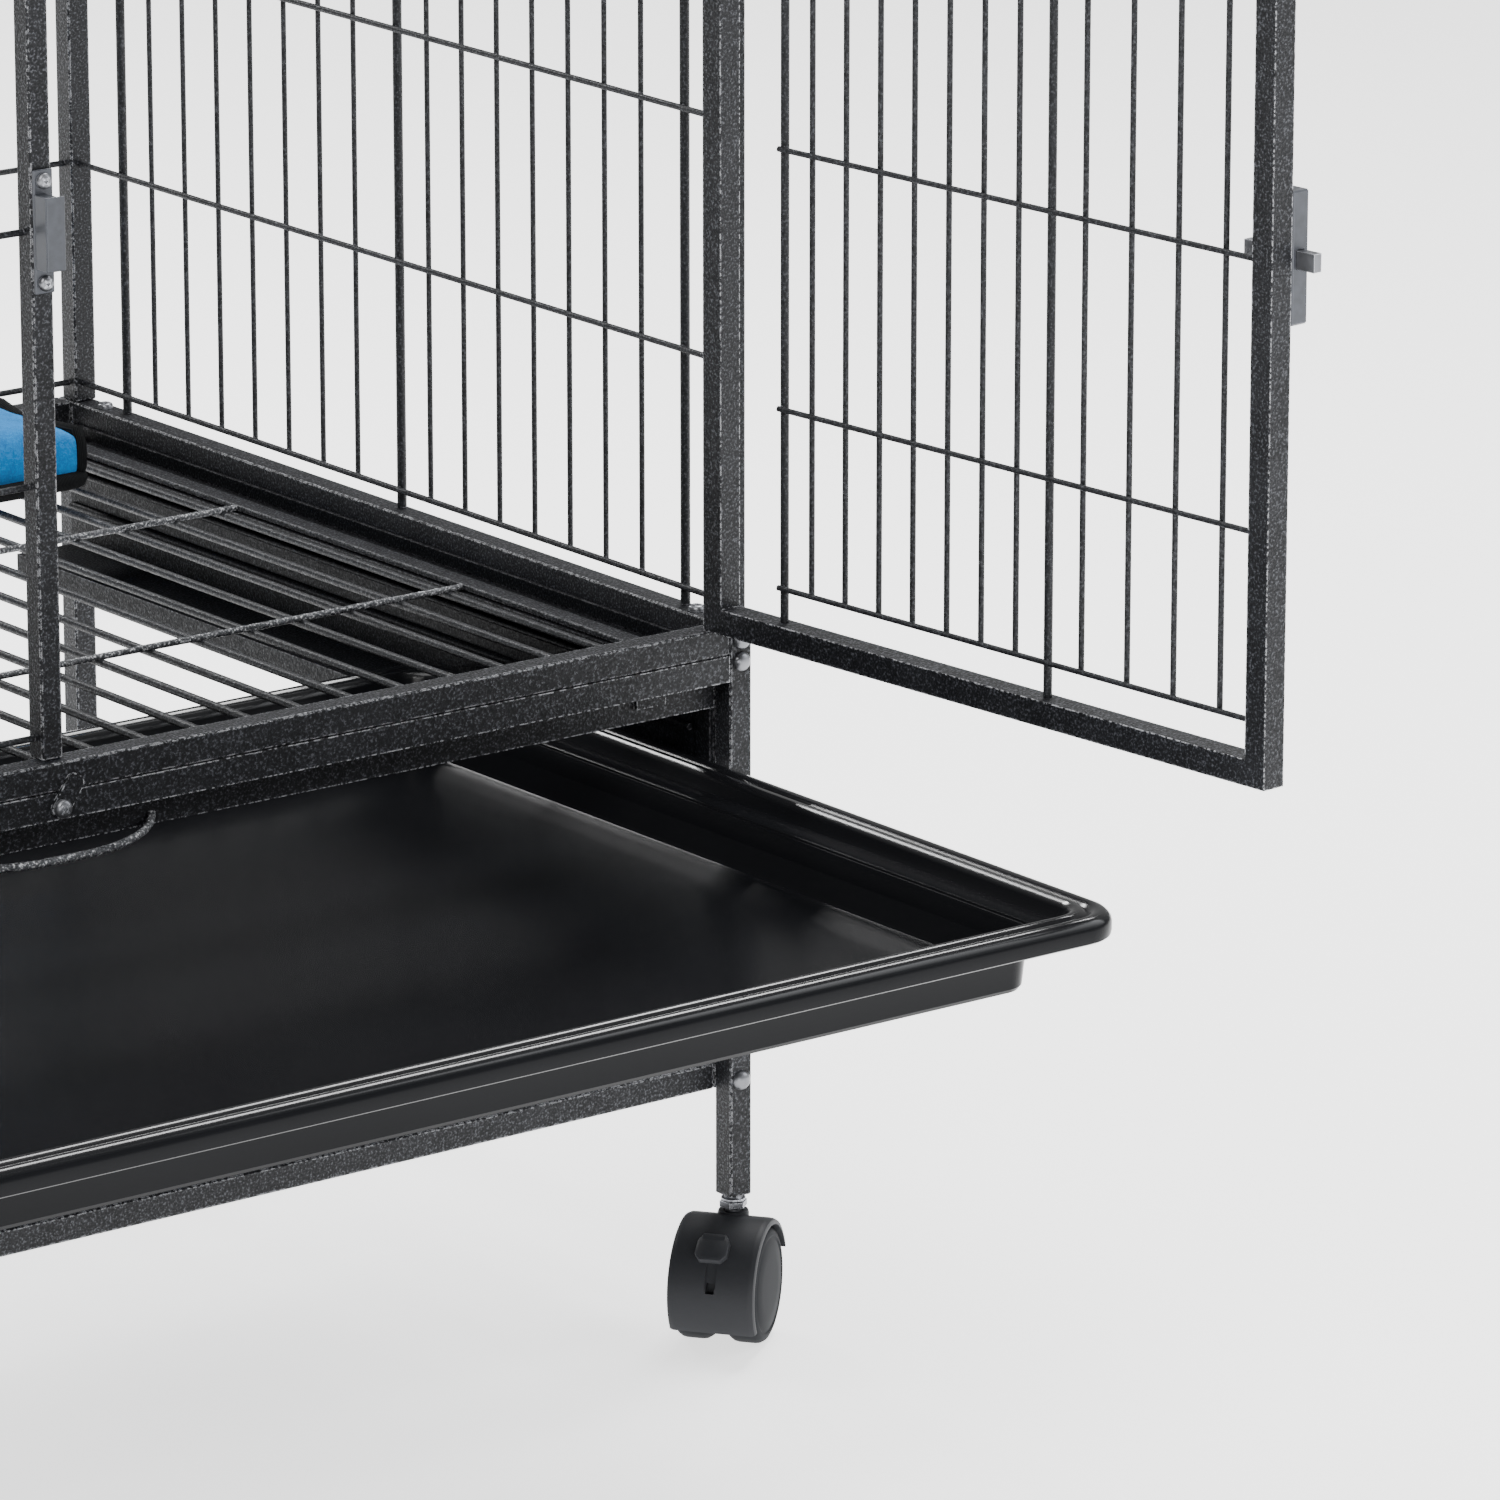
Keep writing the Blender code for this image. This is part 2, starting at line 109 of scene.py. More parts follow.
# ---------------------------------------------------------------- camera, lights and floor
camera = put("camera", bpy.data.cameras.new("camera"))
camera.location = cage_point(-1905.8, -3185.3, 1313.7)
YAW, TILT = 0.65397, 0.27881
aim = Vector((math.sin(YAW) * math.cos(TILT), math.cos(YAW) * math.cos(TILT), -math.sin(TILT)))
camera.rotation_euler = aim.to_track_quat("-Z", "Y").to_euler()
camera.data.sensor_width = 36.0
camera.data.lens = 221.7
camera.data.clip_end = 60
bpy.context.scene.camera = camera


def light(name, place, target, size, power, colour=(1, 1, 1)):
    made = put(name, bpy.data.lights.new(name, "AREA"))
    made.location = cage_point(*place)
    made.data.shape = "RECTANGLE"
    made.data.size, made.data.size_y = size
    made.data.energy = power
    made.data.color = colour
    made.rotation_euler = (cage_point(*target) - made.location).to_track_quat("-Z", "Y").to_euler()


light("key", (-1500, -1700, 2500), (0, 0, 500), (1.6, 1.6), 78, (1.0, 0.99, 0.97))
light("fill", (2200, -1500, 1500), (200, 0, 400), (1.8, 1.8), 34, (0.95, 0.97, 1.0))
light("top", (0, 300, 2900), (0, 0, 400), (2.4, 2.0), 40)
light("rim", (0, 2250, 2000), (150, -300, 250), (1.3, 0.4), 60)
light("streak", (1650, 550, 2700), (150, -450, 250), (0.9, 1.5), 70)
light("low", (-600, -2600, 350), (100, -300, 200), (2.0, 0.5), 14)

world = bpy.data.worlds.new("studio")
bpy.context.scene.world = world
world.use_nodes = True
world.node_tree.nodes["Background"].inputs["Color"].default_value = (1.0, 1.0, 1.0, 1.0)
world.node_tree.nodes["Background"].inputs["Strength"].default_value = 0.30

FLOOR_HALF, FLOOR_DROP = 14.0, 0.0005       # metres; the drop keeps the floor clear of the wheels
floor_mesh = bmesh.new()
bmesh.ops.create_grid(floor_mesh, x_segments=2, y_segments=2, size=FLOOR_HALF)
floor = put("studio_floor", mesh_from("studio_floor", floor_mesh))
floor.location = (0, 0, -FLOOR_DROP)


# ---------------------------------------------------------------- materials
class Shader:
    """A Principled material with short calls for its texture nodes."""

    def __init__(self, name, colour, rough, metal=0.0):
        self.mat = bpy.data.materials.new(name)
        self.mat.use_nodes = True
        self.tree = self.mat.node_tree
        self.out = self.tree.nodes["Principled BSDF"]
        self.out.inputs["Base Color"].default_value = tuple(colour) + (1.0,)
        self.out.inputs["Roughness"].default_value = rough
        self.out.inputs["Metallic"].default_value = metal
        self.coord = self.tree.nodes.new("ShaderNodeTexCoord").outputs["Object"]

    def node(self, kind, links=(), **values):
        made = self.tree.nodes.new(kind)
        for key, value in values.items():
            if key in made.inputs:
                made.inputs[key].default_value = value
            else:
                setattr(made, key, value)
        for target, source in links:
            self.tree.links.new(source, made.inputs[target])
        return made

    def noise(self, scale, detail=2.0, rough=0.5):
        return self.node("ShaderNodeTexNoise", [("Vector", self.coord)], Scale=scale, Detail=detail,
                         Roughness=rough).outputs["Fac"]

    def remap(self, source, low_in, high_in, low_out=0.0, high_out=1.0):
        made = self.node("ShaderNodeMapRange", [("Value", source)])
        for key, value in zip(("From Min", "From Max", "To Min", "To Max"), (low_in, high_in, low_out, high_out)):
            made.inputs[key].default_value = value
        return made.outputs["Result"]

    def times(self, one, two):
        made = self.node("ShaderNodeMath", operation="MULTIPLY")
        self.tree.links.new(one, made.inputs[0])
        self.tree.links.new(two, made.inputs[1])
        return made.outputs[0]

    def mix(self, factor, one, two):
        made = self.node("ShaderNodeMix", data_type="RGBA")
        self.tree.links.new(factor, made.inputs["Factor"])
        for socket, value in ((made.inputs[6], one), (made.inputs[7], two)):
            if hasattr(value, "links"):
                self.tree.links.new(value, socket)
            else:
                socket.default_value = tuple(value) + (1.0,)
        return made.outputs[2]

    def edges(self, radius, low_in=0.86, high_in=0.99):
        """1 on sharp edges and 0 on flat faces."""
        soft = self.node("ShaderNodeBevel", samples=4, Radius=radius).outputs["Normal"]
        flat = self.node("ShaderNodeNewGeometry").outputs["Normal"]
        dot = self.node("ShaderNodeVectorMath", operation="DOT_PRODUCT")
        self.tree.links.new(soft, dot.inputs[0])
        self.tree.links.new(flat, dot.inputs[1])
        return self.remap(dot.outputs["Value"], high_in, low_in)

    def bump(self, height, strength, distance):
        made = self.node("ShaderNodeBump", [("Height", height)], Strength=strength, Distance=distance)
        self.tree.links.new(made.outputs["Normal"], self.out.inputs["Normal"])

    def set(self, key, source):
        self.tree.links.new(source, self.out.inputs[key])


def hammertone(name, base, dark, bright, edge, gloss=0.23):
    """Powder coat with millimetre speckles, a pebbled surface and speckled painted highlights along its edges."""
    s = Shader(name, base, 0.42)
    s.out.inputs["Specular IOR Level"].default_value = gloss
    grain = s.noise(950.0, 2.0, 0.6)
    colour = s.mix(s.remap(grain, 0.40, 0.54), dark, base)
    colour = s.mix(s.remap(grain, 0.56, 0.68), colour, bright)
    colour = s.mix(s.remap(s.noise(35.0), 0.45, 0.75, 0.0, 0.07), colour, bright)
    # painted highlight: a speckled lighter colour, edge, along sharp edges where they catch the light
    edge_highlight_mask = s.times(s.edges(0.0011), s.remap(s.noise(700.0, 1.0), 0.46, 0.58))
    s.set("Base Color", s.mix(edge_highlight_mask, colour, edge))
    s.set("Roughness", s.remap(grain, 0.4, 0.65, 0.58, 0.34))
    s.bump(grain, 0.55, 0.0006)
    return s.mat


# the last colour of each coat is its painted edge highlight
COAT = hammertone("powder_coat", (0.0088, 0.0094, 0.0115), (0.0025, 0.0028, 0.0037), (0.064, 0.067, 0.077),
                  (0.52, 0.53, 0.56))
WIRE_COAT = hammertone("wire_coat", (0.009, 0.0098, 0.012), (0.003, 0.0035, 0.0045), (0.05, 0.053, 0.06),
                       (0.2, 0.2, 0.22))
# a darker copy of the powder coat: painted shade on the side guides, deep in the shadow under the grate
SHADED_GUIDE_COAT = hammertone("shaded_guide_coat", (0.0045, 0.005, 0.006), (0.002, 0.0022, 0.003), (0.022, 0.024, 0.028),
                        (0.11, 0.11, 0.12), 0.1)
# a lighter copy of the powder coat: painted highlight on the tops of the grate's cross wires and on the pull, with
# some wear on the pull
HIGHLIGHTED_COAT = hammertone("highlighted_coat", (0.075, 0.078, 0.085), (0.016, 0.017, 0.02), (0.58, 0.59, 0.61),
                         (0.6, 0.6, 0.63))


def metal(name, colour, rough, metallic, scale=240.0, rim=1.6):
    s = Shader(name, colour, rough, metallic)
    wear = s.noise(scale, 4.0)
    s.set("Roughness", s.remap(wear, 0.3, 0.7, rough - 0.07, rough + 0.12))
    darker = tuple(c * 0.72 for c in colour)
    # painted highlight: a lighter colour along sharp edges, rim times the base colour
    edge_highlight_tone = tuple(min(1.0, c * rim) for c in colour)
    tone = s.mix(s.remap(wear, 0.35, 0.65), darker, colour)
    s.set("Base Color", s.mix(s.edges(0.0006), tone, edge_highlight_tone))
    s.bump(wear, 0.12, 0.0002)
    return s.mat


GREY = metal("latch_grey", (0.066, 0.071, 0.083), 0.38, 0.35)
ZINC = metal("zinc", (0.21, 0.215, 0.23), 0.30, 0.85, 120.0, 3.4)


def plastic(name, colour, rough, grain, strength, specular, polished_above=None):
    s = Shader(name, colour, rough)
    s.out.inputs["Specular IOR Level"].default_value = specular
    if polished_above is not None:
        height = s.node("ShaderNodeSeparateXYZ", [("Vector", s.coord)]).outputs["Z"]
        s.set("Coat Weight", s.remap(height, polished_above, polished_above + 0.002, 0.0, 1.0))
        s.out.inputs["Coat Roughness"].default_value = 0.16
    fine = s.noise(grain, 2.0)
    smear = s.noise(14.0, 3.0)
    s.set("Roughness", s.remap(smear, 0.3, 0.7, rough * 0.92, rough * 1.12))
    s.set("Base Color", s.mix(s.remap(smear, 0.35, 0.7), colour, tuple(c * 1.12 for c in colour)))
    s.bump(fine, strength, 0.0002)
    return s.mat


TRAY = plastic("tray_plastic", (0.0055, 0.0058, 0.0068), 0.2, 900.0, 0.04, 0.085, 0.2520)
HOOD = plastic("caster_plastic", (0.024, 0.025, 0.028), 0.46, 1500.0, 0.18, 0.15)
WHEEL = plastic("wheel_plastic", (0.018, 0.019, 0.021), 0.52, 1400.0, 0.12, 0.025)


def plush(name, colour, dark, light_tone):
    s = Shader(name, colour, 0.95)
    s.out.inputs["Sheen Weight"].default_value = 0.2
    s.out.inputs["Sheen Roughness"].default_value = 0.4
    s.out.inputs["Sheen Tint"].default_value = tuple(light_tone) + (1.0,)
    nap = s.noise(900.0, 3.0, 0.7)
    clumps = s.noise(160.0, 3.0)
    tone = s.mix(s.remap(clumps, 0.35, 0.65), dark, colour)
    s.set("Base Color", s.mix(s.remap(nap, 0.45, 0.75, 0.0, 0.6), tone, light_tone))
    s.bump(nap, 0.9, 0.0012)
    return s.mat


PLUSH = plush("pad_plush", (0.003, 0.20, 0.56), (0.002, 0.14, 0.43), (0.010, 0.34, 0.78))


def webbing(name, colour):
    s = Shader(name, colour, 0.85)
    s.out.inputs["Specular IOR Level"].default_value = 0.1
    weave = s.node("ShaderNodeTexWave", [("Vector", s.coord)], Scale=420.0, Distortion=1.0).outputs["Fac"]
    s.set("Base Color", s.mix(s.remap(weave, 0.2, 0.8), tuple(c * 0.55 for c in colour),
                              tuple(c * 1.7 for c in colour)))
    s.bump(weave, 0.6, 0.0005)
    return s.mat


BINDING = webbing("pad_binding", (0.0055, 0.006, 0.0065))

ground = Shader("pale_floor", (0.93, 0.93, 0.93), 0.9)
ground.out.inputs["Emission Color"].default_value = (1.0, 1.0, 1.0, 1.0)
ground.out.inputs["Emission Strength"].default_value = 1.6
ground.set("Base Color", ground.mix(ground.noise(3.0), (0.925, 0.925, 0.925), (0.935, 0.935, 0.935)))
floor.data.materials.append(ground.mat)


# ---------------------------------------------------------------- builders
def add(name, data, matter, body, replaces=()):
    """A visible piece that rides on a body of the part."""
    made = put(name, data)
    data.materials.clear()
    data.materials.append(matter)
    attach(made, body)
    if replaces:
        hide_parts(*replaces)
    return made


def wires(name, runs, body, replaces=(), place=CAGE, matter=None, closed=False):
    """Round wires. Each run is (diameter, points) in millimetres in the frame of place."""
    data = bpy.data.curves.new(name, "CURVE")
    data.dimensions = "3D"
    data.bevel_resolution = 2
    data.use_fill_caps = not closed
    data.bevel_depth = 0.5 * MM
    for diameter, points in runs:
        spline = data.splines.new("POLY")
        spline.points.add(len(points) - 1)
        for point, spot in zip(spline.points, points):
            point.co = tuple(place @ (Vector(spot) * MM)) + (1.0,)
            point.radius = diameter
        spline.use_smooth = True
        spline.use_cyclic_u = closed
    bent = put(name, data)
    mesh = finished_mesh(bent)
    bpy.data.objects.remove(bent, do_unlink=True)
    return add(name, mesh, matter or WIRE_COAT, body, replaces)


def mesh_piece(name, bm, matter, body, replaces=(), place=CAGE, smooth=35.0, bevel=0.0):
    """A mesh built in millimetres in the frame of place."""
    bmesh.ops.recalc_face_normals(bm, faces=bm.faces)
    bm.transform(place @ Matrix.Scale(MM, 4))
    data = mesh_from(name, bm)
    data.shade_smooth()
    data.set_sharp_from_angle(angle=math.radians(smooth))
    made = add(name, data, matter, body, replaces)
    if bevel:
        edge = made.modifiers.new("edges", "BEVEL")
        edge.width = bevel * MM
        edge.segments = 2
        edge.limit_method = "ANGLE"
        edge.angle_limit = math.radians(30)
        edge.harden_normals = True
    return made


def block(bm, lo, hi, turn=None):
    lo, hi = Vector(lo), Vector(hi)
    made = bmesh.ops.create_cube(bm, size=1.0)["verts"]
    bmesh.ops.scale(bm, vec=hi - lo, verts=made)
    bmesh.ops.translate(bm, vec=(lo + hi) / 2, verts=made)
    if turn is not None:
        bmesh.ops.transform(bm, matrix=turn, verts=made)
    return made


def lathe(bm, profile, matrix, sides=48):
    """A closed turned shape about local Z: profile is (radius, height) from the bottom to the top."""
    rings = []
    for radius, height in profile:
        if radius < 1e-6:
            rings.append([bm.verts.new(matrix @ Vector((0, 0, height)))])
            continue
        rings.append([bm.verts.new(matrix @ Vector((radius * math.cos(2 * math.pi * i / sides),
                                                    radius * math.sin(2 * math.pi * i / sides), height)))
                      for i in range(sides)])
    for one, two in zip(rings, rings[1:]):
        for i in range(sides):
            j = (i + 1) % sides
            if len(one) == 1:
                bm.faces.new((one[0], two[i], two[j]))
            elif len(two) == 1:
                bm.faces.new((one[i], one[j], two[0]))
            else:
                bm.faces.new((one[i], one[j], two[j], two[i]))


def round_loop(x0, x1, y0, y1, radius, z, steps=8):
    points = []
    for cx, cy, start in ((x1 - radius, y1 - radius, 0), (x0 + radius, y1 - radius, 90),
                          (x0 + radius, y0 + radius, 180), (x1 - radius, y0 + radius, 270)):
        for i in range(steps + 1):
            angle = math.radians(start + 90 * i / steps)
            points.append(Vector((cx + radius * math.cos(angle), cy + radius * math.sin(angle), z)))
    return points


def loft(bm, loops):
    """A skin over loops of equally many points, closed at both ends."""
    rings = [[bm.verts.new(p) for p in loop] for loop in loops]
    for one, two in zip(rings, rings[1:]):
        for i in range(len(one)):
            j = (i + 1) % len(one)
            bm.faces.new((one[i], one[j], two[j], two[i]))
    bm.faces.new(list(reversed(rings[0])))
    bm.faces.new(rings[-1])


# ---------------------------------------------------------------- carried CAD pieces
finishes = {"powder_coat": COAT, "latch_grey": GREY, "zinc": ZINC, "tray_plastic": TRAY, "caster_plastic": HOOD,
            "wheel_plastic": WHEEL, "pad_fabric": PLUSH}
slots = {row["node"]: row["material_slot"] for row in frame["record"]["subparts"]}
for name, node in frame["nodes"].items():
    node.data.materials.clear()
    # the side guides take the darker coat, which is painted shade
    dark = name.startswith("side_guide")
    node.data.materials.append(COAT if name == "lock_tab" else SHADED_GUIDE_COAT if dark else finishes[slots[name]])

# ---------------------------------------------------------------- wire walls
LEVELS = [WALL_LOW + WALL_STEP * i for i in range(11)]
SIDE_END = 237.2
THIN_FOOT = LEVELS[0] - 1.0
THIN_OUT, HEAVY_OUT = 1.9, 2.7  # how far outside the horizontals the uprights stand
thin_side = [-HALF_D + 69.4 + BAR_PITCH * i for i in range(7)] + [-HALF_D + 276.4 + 26.35 * i for i in range(7)]
thick_side = [-HALF_D + d for d in (40.4, 244.6, 458.7)]
for side, sx in SIDES.items():
    x = sx * 336.5                  # just inside the middle of the posts
    runs = [(LEVEL, [(x, -SIDE_END, z), (x, SIDE_END, z)]) for z in LEVELS]
    runs += [(THIN, [(x + sx * THIN_OUT, y, THIN_FOOT), (x + sx * THIN_OUT, y, WALL_TOP)]) for y in thin_side]
    runs += [(HEAVY, [(x + sx * HEAVY_OUT, y, WALL_FOOT), (x + sx * HEAVY_OUT, y, WALL_TOP)]) for y in thick_side]
    wires(f"wires_{side}", runs, "frame", [f"wall_{side}"])

bars = [BAR_START + BAR_PITCH * i for i in range(26)]
front_bars = [-29.8 - BAR_PITCH * i for i in range(12)]
for end, last, uprights, heavy in (("back", INNER_W, bars, (4, 12, 21)), ("front", -5.1, front_bars, (3, 9))):
    y = ENDS[end] * 243.0
    runs = [(LEVEL, [(-INNER_W, y, z), (last, y, z)]) for z in LEVELS]
    for i, x in enumerate(uprights):
        width, out, foot = (HEAVY, HEAVY_OUT, WALL_FOOT) if i in heavy else (THIN, THIN_OUT, THIN_FOOT)
        runs.append((width, [(x, y + ENDS[end] * out, foot), (x, y + ENDS[end] * out, WALL_TOP)]))
    wires(f"wires_{end}", runs, "frame", [f"wall_{end}"])

# each grille's wire diameters, half depth, heights of bars and cross wires, and places of the cross wires
for name, node, bar, cross, reach, bar_z, cross_z, places in (
        ("wires_top", "top_mesh", THIN, 3.0, INNER_D, 1345.0, 1342.4, (-120.0, 0.0, 120.0)),
        ("wires_shelf", "shelf", 3.0, 3.6, 229.7, 113.0, 110.0, (-229.0, -80.0, 80.0, 229.0))):
    runs = [(bar, [(x, -reach, bar_z), (x, reach, bar_z)]) for x in bars]
    runs += [(cross, [(-INNER_W, y, cross_z), (INNER_W, y, cross_z)]) for y in places]
    wires(name, runs, "frame", [node])

# ---------------------------------------------------------------- grate drawer
grate_bars = [-304.8 + BAR_PITCH * i for i in range(25)]
runs = [(3.7, [(x, -241.0, 294.2), (x, 234.0, 294.2)]) for x in grate_bars]
# the cross wires take the lighter coat, a painted highlight on their tops
wires("grate_cross", [(3.0, [(-320.0, y, 296.6), (320.0, y, 296.6)]) for y in (-90.0, 80.0)], "grate_drawer",
      matter=HIGHLIGHTED_COAT)
runs += [(THIN, [(-320.0, 234.0, 296.9), (320.0, 234.0, 296.9)])]
wires("grate_wires", runs, "grate_drawer", ["grate"])
for side, sx in SIDES.items():
    bm = bmesh.new()
    xs = sorted((sx * 311.5, sx * 321.0))
    block(bm, (xs[0], -241.0, 295.2), (xs[1], 236.0, 298.1))
    mesh_piece(f"grate_edge_{side}", bm, COAT, "grate_drawer", bevel=0.8)

# the left half of the pull wire, mirrored to make the bow
bend = [(-50, -242.3, 279.0), (-49.4, -243.2, 277.2), (-47.0, -245.4, 275.2), (-42.5, -248.2, 273.8),
        (-36.0, -251.2, 272.9), (-27.0, -254.2, 272.3), (-14.0, -256.6, 272.0)]
handle = bend + [(-x, y, z) for x, y, z in reversed(bend)]
# the pull takes the lighter coat, a painted highlight with some wear
wires("grate_pull", [(3.3, handle)], "grate_drawer", ["grate_handle"], matter=HIGHLIGHTED_COAT)

# ---------------------------------------------------------------- side guides: ribs, sheet end, corner plate, flange
for side, sx in SIDES.items():
    # the ribs and plates take the darker coat, which is painted shade
    wires(f"guide_ribs_{side}", [(3.0, [(sx * 328.6, -229.0, z), (sx * 328.6, 238.0, z)]) for z in (263.0, 279.0)],
          "frame", matter=SHADED_GUIDE_COAT)
    bm = bmesh.new()
    for across, along, up in (((329.7, 331.7), (-241.1, -230.0), (242.4, 273.3)),
                              ((332.0, 341.0), (-241.2, -239.6), (243.0, 298.2)),
                              ((330.0, 331.6), (-230.8, 239.5), (295.0, 301.0))):
        xs = sorted(sx * v for v in across)
        block(bm, (xs[0], along[0], up[0]), (xs[1], along[1], up[1]))
    mesh_piece(f"guide_end_{side}", bm, SHADED_GUIDE_COAT, "frame", bevel=0.3)

# ---------------------------------------------------------------- tray: one moulded sheet with a rolled lip
tray_y0, tray_y1 = -HALF_D - TRAY_OUT, -HALF_D - TRAY_OUT + TRAY_LENGTH
# (inset from the outer edge, height, corner radius)
section = [(31.0, TRAY_FLOOR, 10), (28.6, TRAY_FLOOR + 0.5, 11), (27.4, TRAY_FLOOR + 2.2, 12), (25.6, 242.8, 13),
           (24.6, 244.7, 13.6), (3.0, 244.9, 18), (1.2, 244.5, 19), (0.3, 245.2, 20), (0.0, 247.0, 20),
           (0.0, 250.0, 20), (0.4, 251.9, 19.6), (1.3, 253.4, 19), (2.6, 254.5, 18.4), (4.2, 254.9, 17.8),
           (5.8, 254.6, 17.2), (7.0, 253.7, 16.8), (7.8, 252.9, 16.5), (8.6, 253.5, 16.2), (9.6, 254.5, 15.9),
           (11.0, 255.0, 15.5), (12.4, 254.8, 15.1), (13.6, 253.8, 14.7), (14.5, 252.0, 14.3), (15.4, 249.4, 14),
           (16.6, 247.6, 13.4), (18.4, 246.8, 12.8), (22.4, 246.4, 12), (23.6, 245.6, 11.6),
           (28.6, 227.2, 11), (29.4, 225.0, 10.6), (31.0, 223.9, 10.0), (33.6, 223.6, 9)]
bm = bmesh.new()
loft(bm, [round_loop(-TRAY_HALF + d, TRAY_HALF - d, tray_y0 + d, tray_y1 - d, r, z, 10)
          for d, z, r in section])
mesh_piece("tray_shell", bm, TRAY, "tray", ["tray"], smooth=28.0)

# ---------------------------------------------------------------- screws, bolts and latch
def dome(bm, place, radius, height):
    """A domed bolt head with a flat washer edge, its axis along local Z of place."""
    lathe(bm, [(0, -0.4), (radius, -0.4), (radius, 0.35), (radius * 0.93, height * 0.45),
               (radius * 0.72, height * 0.78), (radius * 0.4, height * 0.95), (0, height)], place, 28)


def phillips(bm, place, radius, height):
    """A pan head with a dimple and a raised cross in it, its axis along local Z of place."""
    lathe(bm, [(0, -0.4), (radius, -0.4), (radius, height * 0.35), (radius * 0.9, height * 0.75),
               (radius * 0.66, height * 0.98), (radius * 0.3, height), (radius * 0.22, height * 0.55),
               (0, height * 0.5)], place, 28)
    for turn in (0.0, math.pi / 2):
        spin = place @ Matrix.Rotation(turn + math.pi / 4, 4, "Z")
        for reach in (-1, 1):
            xs = sorted((reach * radius * 0.18, reach * radius * 0.62))
            block(bm, (xs[0], -0.22, height * 0.86), (xs[1], 0.22, height * 1.04), spin)


FACING_FRONT = Matrix.Rotation(math.radians(90), 4, "X")
FACING_BACK = Matrix.Rotation(math.radians(-90), 4, "X")
for end, ey in ENDS.items():
    for side, sx in SIDES.items():
        bm = bmesh.new()
        facing = FACING_FRONT if ey < 0 else FACING_BACK
        x = sx * POST
        for z in (304.4, 295.0, 112.5):
            dome(bm, Matrix.Translation((x, ey * (HALF_D + 0.2), z)) @ facing, 4.2, 2.5)
        mesh_piece(f"leg_bolts_{end}_{side}", bm, ZINC, "frame", smooth=40)
        bm = bmesh.new()
        phillips(bm, Matrix.Translation((x, ey * 222.0, 310.8)), 3.6, 2.0)
        mesh_piece(f"rail_screw_{end}_{side}", bm, ZINC, "frame", smooth=40)

bm = bmesh.new()
phillips(bm, Matrix.Translation((0, -254.9, 292.0)) @ FACING_FRONT, 3.8, 2.1)
mesh_piece("lock_screw", bm, ZINC, "lock_tab", smooth=40)

bm = bmesh.new()
for z in (503.0, 543.5):
    phillips(bm, Matrix.Translation((0, -250.7, z)) @ FACING_FRONT, 3.2, 1.7)
mesh_piece("keeper_screws", bm, ZINC, "frame", smooth=40)

bm = bmesh.new()
block(bm, (-4.4, -250.3, 498.8), (4.4, -248.8, 548.0))
mesh_piece("keeper_plate", bm, GREY, "frame", ["latch_keeper"], bevel=0.5)
pocket = [(-4.2, 509.0), (4.2, 509.0), (4.2, 515.0), (2.4, 516.2), (-2.8, 516.2), (-2.8, 525.8), (2.4, 525.8),
          (4.2, 527.2), (4.2, 535.0), (1.0, 538.5), (-4.2, 538.5)]
bm = bmesh.new()
loft(bm, [[Vector((px, -258.2, pz)) for px, pz in pocket], [Vector((px, -250.4, pz)) for px, pz in pocket]])
block(bm, (-4.2, -258.9, 509.0), (4.3, -258.1, 538.5))
mesh_piece("keeper_catch", bm, GREY, "frame", bevel=0.45)

# ---------------------------------------------------------------- door wires
DOOR_BARS = (42.3, 58.6, 78.5, 98.4, 118.2, 138.1, 158.0, 177.8, 196.4, 215.2, 240.8, 266.5, 292.2)
DOOR_LEVELS = [337.3, 412.7] + [520.7 + 104.0 * i for i in range(8)]
DOOR_WIRE = 2.5
free_in = DOOR_LEFT + DOOR_TUBE
mid = DOOR_FRONT + DOOR_TUBE / 2
runs = []
for i, d in enumerate(DOOR_BARS):
    heavy = i in (0, 8)
    bottom, top = DOOR_LEVELS[0] - 1.0, DOOR_LEVELS[-1] + 0.8
    if heavy:
        bottom, top = DOOR_LOW + DOOR_TUBE - 0.5, DOOR_HIGH - DOOR_TUBE + 0.5
    x = DOOR_RIGHT - d
    runs.append((3.6 if heavy else DOOR_WIRE, [(x, mid - 1.2, bottom), (x, mid - 1.2, top)]))
for z in DOOR_LEVELS:
    runs.append((DOOR_WIRE, [(free_in - 0.3, mid + 1.2, z), (DOOR_RIGHT - DOOR_BARS[0] + 1.2, mid + 1.2, z)]))
wires("door_wires", runs, "door", ["door_mesh"], DOOR)

# ---------------------------------------------------------------- casters
def helper(bm):
    """A temporary object for cutting and joining, in metres."""
    bmesh.ops.recalc_face_normals(bm, faces=bm.faces)
    bm.transform(Matrix.Scale(MM, 4))
    return put("helper", mesh_from("helper", bm))


def carve(base, steps):
    """The base after its joins and cuts, as a new bmesh in millimetres."""
    for operation, other in steps:
        step = base.modifiers.new("step", "BOOLEAN")
        step.operation, step.solver, step.object = operation, "EXACT", other
    bm = bmesh.new()
    bm.from_mesh(finished_mesh(base))
    bm.transform(Matrix.Scale(1 / MM, 4))
    for made in [base] + [other for _, other in steps]:
        bpy.data.objects.remove(made, do_unlink=True)
    return bm


HUB = Matrix.Translation((10.0, 0, 25.0))      # the axle, from the foot of the swivel's axis
ACROSS = HUB @ Matrix.Rotation(math.radians(-90), 4, "X")


def turned(profile, matrix, sides=64):
    bm = bmesh.new()
    lathe(bm, profile, matrix, sides)
    return helper(bm)


def blocky(lo, hi, matrix):
    bm = bmesh.new()
    block(bm, lo, hi, matrix)
    return helper(bm)


def tube(radius, lo, hi):
    return [(0, lo), (radius, lo), (radius, hi), (0, hi)]


def polar(angle, radius):
    """A frame on the hood: local Z points out from the axle and local X runs down the hood."""
    lean = math.radians(angle)
    return HUB @ Matrix.Translation((radius * math.cos(lean), 0, radius * math.sin(lean))) @ \
        Matrix.Rotation(math.pi / 2 - lean, 4, "Y")


